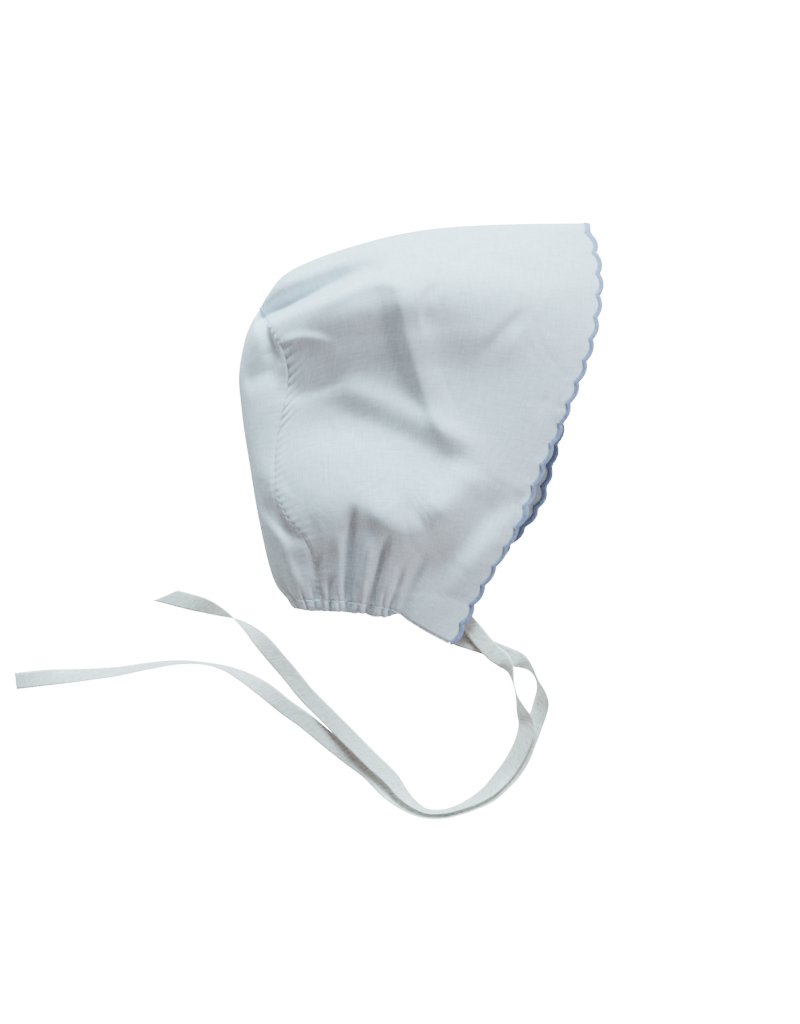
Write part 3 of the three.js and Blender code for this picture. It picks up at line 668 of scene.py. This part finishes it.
def neckPath():
    v = np.linspace(0, 1, neckBand["panelSteps"])
    w = np.linspace(0, 1, neckBand["crownSteps"])[1:-1]
    zeroV, zeroW = np.zeros_like(v), np.zeros_like(w)
    parts = [
        (panelPoints(zeroV, v), panelPoints(zeroV + neckBand["panelLook"], v)),
        (crownPoints(zeroW, w), crownPoints(zeroW + neckBand["crownLook"], w)),
        (panelPoints(zeroV + 1, v[::-1]), panelPoints(zeroV + 1 - neckBand["panelLook"], v[::-1])),
    ]
    points = np.concatenate([part[0] for part in parts])
    onward = unit(points - np.concatenate([part[1] for part in parts]))
    alongEdge = unit(np.gradient(points, axis=0))
    facing = unit(np.cross(alongEdge, onward))
    elastic = smooth((v - neckBand["elasticFrom"]) / neckBand["elasticEase"])
    gathered = np.concatenate([elastic, zeroW + 1, elastic[::-1]])
    near = neckGather(v, gathers["near"], zeroV)
    gather = np.concatenate([near, crownGather(w, zeroW), neckBand["farGather"] * near[::-1]])
    return {"points": points, "onward": onward, "facing": facing, "gathered": gathered, "gather": gather}


neckEdge = neckPath()


def addNeckBand():
    gathered, gather = neckEdge["gathered"], neckEdge["gather"]
    width = neckBand["hem"] + (neckBand["width"] - neckBand["hem"]) * gathered
    width = width * (1 - neckBand["narrower"] * gather)
    puff = neckBand["hemPuff"] + (1 - neckBand["hemPuff"]) * gathered
    puff = neckBand["puff"] * puff * (1 - neckBand["pressed"] * gather)
    sink = neckBand["sink"] * gathers["depth"] * gather
    across, high = bandShape.T
    profile = np.stack([across * width[:, None], high * puff[:, None] - sink[:, None] * (high > 0)], -1)
    band = sweepMesh("neckCasing", neckEdge["points"], neckEdge["onward"], neckEdge["facing"], profile)
    settle(band, neckBand["low"])
    return band


def settle(piece, low):
    # Nothing of a piece goes under the table
    moveVertices(piece, lambda points: np.maximum(points, [-math.inf, -math.inf, low]))


# A stitch of thread: its sides and rings, and how blunt its ends are, where 1 is a ball's
threadRod = {"sides": 6, "rings": 5, "blunt": 0.45}


def threadShape():
    # A short rod with rounded ends, 1 long and 1 across
    bpy.ops.object.select_all(action="DESELECT")
    bpy.ops.mesh.primitive_uv_sphere_add(segments=threadRod["sides"], ring_count=threadRod["rings"],
                                         radius=0.5)
    rod = bpy.context.object
    points = np.array([p.co[:] for p in rod.data.vertices])
    faces = [list(polygon.vertices) for polygon in rod.data.polygons]
    bpy.data.objects.remove(rod, do_unlink=True)
    points[:, 2] = np.sign(points[:, 2]) * np.abs(2 * points[:, 2]) ** threadRod["blunt"] / 2
    return points, faces


def addThreads(name, middles, ahead, side, up, size):
    # Many stitches as one mesh: size is how long, wide and high each one is
    shape, faces = threadShape()
    count = len(middles)
    places = (middles[:, None] + ahead[:, None] * shape[None, :, 2:3] * size[0]
              + side[:, None] * shape[None, :, 0:1] * size[1] + up[:, None] * shape[None, :, 1:2] * size[2])
    allFaces = [[i + k * len(shape) for i in face] for k in range(count) for face in faces]
    mesh = bpy.data.meshes.new(name)
    mesh.from_pydata(places.reshape(-1, 3).tolist(), [], allFaces)
    piece = addPiece(name, mesh)
    faceOutward(piece)
    return piece


def spaced(path, run, at):
    return np.stack([np.interp(at, run, path[:, k]) for k in range(3)], -1)


def addCasingStitches():
    path, run = neckEdge["points"], runLengths(neckEdge["points"])
    pitch = casingStitch["length"] + casingStitch["gap"]
    at = np.arange(pitch, run[-1] - pitch, pitch)
    up = unit(spaced(neckEdge["facing"], run, at))
    onward = unit(spaced(neckEdge["onward"], run, at))
    gather = np.interp(at, run, neckEdge["gather"])[:, None]
    middles = (spaced(path, run, at) + onward * casingStitch["inward"]
               + up * (casingStitch["lift"] - gathers["depth"] * gather))
    look = casingStitch["look"]
    ahead = unit(spaced(path, run, at + look) - spaced(path, run, at - look))
    side = np.cross(up, ahead)
    thread = casingStitch["thread"]
    return addThreads("casingStitches", middles, ahead, side, up,
                      (casingStitch["length"], thread, thread * casingStitch["flatness"]))


neckCasing = addNeckBand()
casingStitches = addCasingStitches()
print("neck band made")


# The border along the scallops: a cord, and satin stitches laid over it side by side, leaning
# a little one way and the other
border = {"width": 2.5 * mm, "height": 0.42 * mm, "inset": 0.7 * mm, "pitch": 0.43 * mm,
          "thread": 0.4 * mm, "overhang": 1.06, "loft": 2.5, "lean": 8, "leanSpread": 4,
          "leanRun": 0.7 * mm, "shoulder": 0.7, "shoulderHigh": 0.75, "cordLow": 0.05 * mm,
          "threadLow": 0.02 * mm}


def borderPath():
    middle = faceEdge["points"] + faceEdge["outward"] * (faceEdge["reach"] - border["inset"])[:, None]
    forward = unit(np.gradient(middle, axis=0))
    side = unit(np.cross(faceEdge["turned"], forward))
    return middle, forward, side, unit(np.cross(forward, side))


def addBorder():
    middle, forward, side, facing = borderPath()
    half, high = border["width"] / 2, border["height"]
    shoulder, rise = half * border["shoulder"], high * border["shoulderHigh"]
    profile = [[-half, 0], [-shoulder, rise], [0, high], [shoulder, rise], [half, 0],
               [shoulder, -rise], [0, -high], [-shoulder, -rise]]
    cord = sweepMesh("scallopBorder", middle, side, facing, profile)
    settle(cord, border["cordLow"])
    run = runLengths(middle)
    at = np.arange(border["pitch"], run[-1] - border["pitch"], border["pitch"])
    lean = np.radians(border["lean"] + border["leanSpread"] * np.sin(at / border["leanRun"]))[:, None]
    ahead, across, up = [unit(spaced(part, run, at)) for part in (forward, side, facing)]
    laid = across * np.cos(lean) + ahead * np.sin(lean)
    beside = np.cross(up, laid)
    threads = addThreads("borderStitches", spaced(middle, run, at), laid, beside, up,
                         (border["width"] * border["overhang"], border["thread"], high * border["loft"]))
    settle(threads, border["threadLow"])
    return cord, threads


scallopBorder, borderStitches = addBorder()
print("border made")


# Materials

def toLinear(hexColour):
    parts = [int(hexColour[i:i + 2], 16) / 255 for i in (1, 3, 5)]
    return [c / 12.92 if c <= 0.04045 else ((c + 0.055) / 1.055) ** 2.4 for c in parts] + [1]


def addNode(tree, kind, settings=None, links=None):
    node = tree.nodes.new(kind)
    for key, value in (settings or {}).items():
        if isinstance(key, int) or key in node.inputs:
            node.inputs[key].default_value = value
        else:
            setattr(node, key, value)
    for key, source in (links or {}).items():
        tree.links.new(source, node.inputs[key])
    return node


def newMaterial(name):
    material = bpy.data.materials.new(name)
    material.use_nodes = True
    tree = material.node_tree
    tree.nodes.clear()
    return material, tree


def addSurface(tree, settings, links):
    shader = addNode(tree, "ShaderNodeBsdfPrincipled", settings, links)
    addNode(tree, "ShaderNodeOutputMaterial", None, {"Surface": shader.outputs[0]})


def threadNoise(tree, source, alongU, alongV, turn=0.0):
    # Uneven threads: noise of a size along each way of the cloth, turned by an angle in radians
    place = addNode(tree, "ShaderNodeMapping", {"vector_type": "TEXTURE", "Scale": (alongU, alongV, 1),
                                                "Rotation": (0, 0, turn)}, {"Vector": source})
    noise = addNode(tree, "ShaderNodeTexNoise", {"Scale": 1.0, "Detail": 3, "Roughness": 0.6},
                    {"Vector": place.outputs[0]})
    return noise.outputs[0]


def bothThreads(tree, first, second):
    # Two ways of threads: their sum for the relief, and half of it for the tone
    both = addNode(tree, "ShaderNodeMath", {"operation": "ADD"}, {0: first, 1: second})
    half = addNode(tree, "ShaderNodeMath", {"operation": "MULTIPLY", 1: 0.5}, {0: both.outputs[0]})
    return both.outputs[0], half.outputs[0]


def toneRamp(tree, source, *stops):
    # From one colour to another between two values of the source
    ramp = addNode(tree, "ShaderNodeValToRGB", None, {"Fac": source})
    for element, (position, colour) in zip(ramp.color_ramp.elements, stops):
        element.position = position
        element.color = toLinear(colour)
    return ramp.outputs[0]


weave = {"across": 0.9 * mm, "along": 7 * mm, "depth": 0.05 * mm}
twist = {"turnsPerMetre": 900}
ribbonWeave = {"floatRun": 9 * mm, "float": 0.35 * mm, "rib": 0.8 * mm, "ribRun": 4 * mm, "ribTurn": -0.6,
               "depth": 0.07 * mm}


def plainWovenCotton():
    # Bleached cotton lawn in plain weave: matt, with uneven threads both ways, faintly cool, and
    # thin enough for a little light to pass. Its threads are 0.3 mm apart; they are drawn about
    # three times as coarse, to show.
    material, tree = newMaterial("plainWovenCotton")
    cloth = addNode(tree, "ShaderNodeUVMap", {"uv_map": "cloth"})
    warp = threadNoise(tree, cloth.outputs[0], weave["along"], weave["across"])
    weft = threadNoise(tree, cloth.outputs[0], weave["across"], weave["along"])
    relief, shade = bothThreads(tree, warp, weft)
    tone = toneRamp(tree, shade, (0.35, "#C6D3D8"), (0.65, "#E2EEF3"))
    bump = addNode(tree, "ShaderNodeBump", {"Strength": 1.0, "Distance": weave["depth"]},
                   {"Height": relief})
    addSurface(tree, {
        "Roughness": 0.88, "Specular IOR Level": 0.25, "Sheen Weight": 0.15, "Sheen Roughness": 0.5,
        "Subsurface Weight": 0.22, "Subsurface Radius": (1, 0.8, 0.9), "Subsurface Scale": 1.2 * mm},
        {"Base Color": tone, "Normal": bump.outputs[0]})
    return material


def mercerisedThread(name, pale, paintedTurnShade):
    # Twisted cotton thread with a soft shine; its darker patches are painted shade between its turns,
    # which are drawn coarser than real, to show
    material, tree = newMaterial(name)
    place = addNode(tree, "ShaderNodeTexCoord")
    noise = addNode(tree, "ShaderNodeTexNoise", {"Scale": twist["turnsPerMetre"], "Detail": 3.0},
                    {"Vector": place.outputs["Object"]})
    # from painted shade between the turns to the thread's own pale colour
    tone = toneRamp(tree, noise.outputs[0], (0.3, paintedTurnShade), (0.7, pale))
    addSurface(tree, {"Roughness": 0.5, "Sheen Weight": 0.25, "Sheen Roughness": 0.35}, {"Base Color": tone})
    return material


def wovenSatin():
    # Polyester satin ribbon: long floats give a smooth shine, and painted sheen streaks lighter along
    # the ribbon in its colour, over a faint slanted rib drawn coarser than real. Light passes through
    # it, so its shade is pale.
    material, tree = newMaterial("wovenSatin")
    cloth = addNode(tree, "ShaderNodeUVMap", {"uv_map": "cloth"})
    floatsAndSheen = threadNoise(tree, cloth.outputs[0], ribbonWeave["floatRun"], ribbonWeave["float"])
    ribs = threadNoise(tree, cloth.outputs[0], ribbonWeave["rib"], ribbonWeave["ribRun"],
                       ribbonWeave["ribTurn"])
    relief, shade = bothThreads(tree, floatsAndSheen, ribs)
    # the lighter streaks along the ribbon in this colour are painted sheen
    tone = toneRamp(tree, shade, (0.37, "#BCC2B3"), (0.62, "#FBFCF2"))
    bump = addNode(tree, "ShaderNodeBump", {"Strength": 1, "Distance": ribbonWeave["depth"]},
                   {"Height": relief})
    addSurface(tree, {
        "Roughness": 0.3, "Specular IOR Level": 0.7, "Anisotropic": 0.5, "Sheen Weight": 0.2,
        "Subsurface Weight": 0.4, "Subsurface Radius": (1, 1, 0.9), "Subsurface Scale": 1.5 * mm},
        {"Base Color": tone, "Normal": bump.outputs[0]})
    return material


cotton, satin = plainWovenCotton(), wovenSatin()
# The second, darker colour of each thread is painted shade between its turns
blueThread = mercerisedThread("blueStitchThread", "#96A8C6", "#7789AD")
whiteThread = mercerisedThread("whiteSewingThread", "#E6EEF2", "#CBD6DC")
for piece, material in ((sidePanel, cotton), (crownPiece, cotton), (neckCasing, cotton),
                        (casingStitches, whiteThread), (scallopBorder, blueThread),
                        (borderStitches, blueThread), (nearTie, satin), (farTie, satin)):
    piece.data.materials.clear()
    piece.data.materials.append(material)


# Floor and light: one soft key from beyond the top fold, a faint fill from the face side, dim
# light all round, and a white floor that glows for the camera alone, over the plain floor
# that bounces light
key = {"azimuth": 88, "elevation": 30, "distance": 2.2, "size": 0.9, "power": 181,
       "colour": (0.7, 1.0, 1.14)}
fill = {"azimuth": -12, "elevation": 17, "distance": 2.0, "size": 0.7, "power": 24,
        "colour": (0.95, 1.0, 1.15)}
room = {"strength": 0.29, "colour": (1.27, 0.99, 1.02)}
ground = {"size": 6, "plainLevel": -0.4 * mm, "glowLevel": -0.2 * mm, "glow": 16}


def addFloor(name, level, glow):
    bpy.ops.object.select_all(action="DESELECT")
    bpy.ops.mesh.primitive_plane_add(size=ground["size"], location=(0, 0, level))
    floor = bpy.context.object
    floor.name = name
    material, tree = newMaterial(name)
    addSurface(tree, {"Base Color": toLinear("#E8E8E8"), "Roughness": 0.9,
                      "Emission Color": (1, 1, 1, 1), "Emission Strength": glow}, {})
    floor.data.materials.append(material)
    return floor


def addLamp(name, sizes):
    turn, climb = math.radians(sizes["azimuth"]), math.radians(sizes["elevation"])
    place = Vector((math.cos(climb) * math.cos(turn), math.cos(climb) * math.sin(turn), math.sin(climb)))
    bpy.ops.object.light_add(type="AREA", location=place * sizes["distance"])
    lamp = bpy.context.object
    lamp.name = name
    lamp.data.size = sizes["size"]
    lamp.data.energy = sizes["power"]
    lamp.data.color = sizes["colour"]
    lamp.rotation_euler = place.to_track_quat("Z", "Y").to_euler()


def addStage():
    addFloor("paleFloor", ground["plainLevel"], 0)
    glowing = addFloor("whiteSheet", ground["glowLevel"], ground["glow"])
    for ray in ("visible_diffuse", "visible_glossy", "visible_transmission", "visible_shadow"):
        setattr(glowing, ray, False)
    addLamp("softKey", key)
    addLamp("faintFill", fill)
    world = bpy.data.worlds.new("softRoom")
    bpy.context.scene.world = world
    world.use_nodes = True
    sky = world.node_tree.nodes["Background"]
    sky.inputs[0].default_value = (*room["colour"], 1)
    sky.inputs[1].default_value = room["strength"]


addStage()
print("stage set")

for piece, node, slot in (
        (sidePanel, "main_panel", "white_cotton"), (crownPiece, "back_panel", "white_cotton"),
        (neckCasing, "neck_casing", "white_cotton"), (casingStitches, "neck_casing", "white_cotton"),
        (scallopBorder, "scallop_edging", "blue_thread"), (borderStitches, "scallop_edging", "blue_thread"),
        (nearTie, "near_tie", "white_satin"), (farTie, "far_tie", "white_satin")):
    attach(piece, "root")
    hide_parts(node)
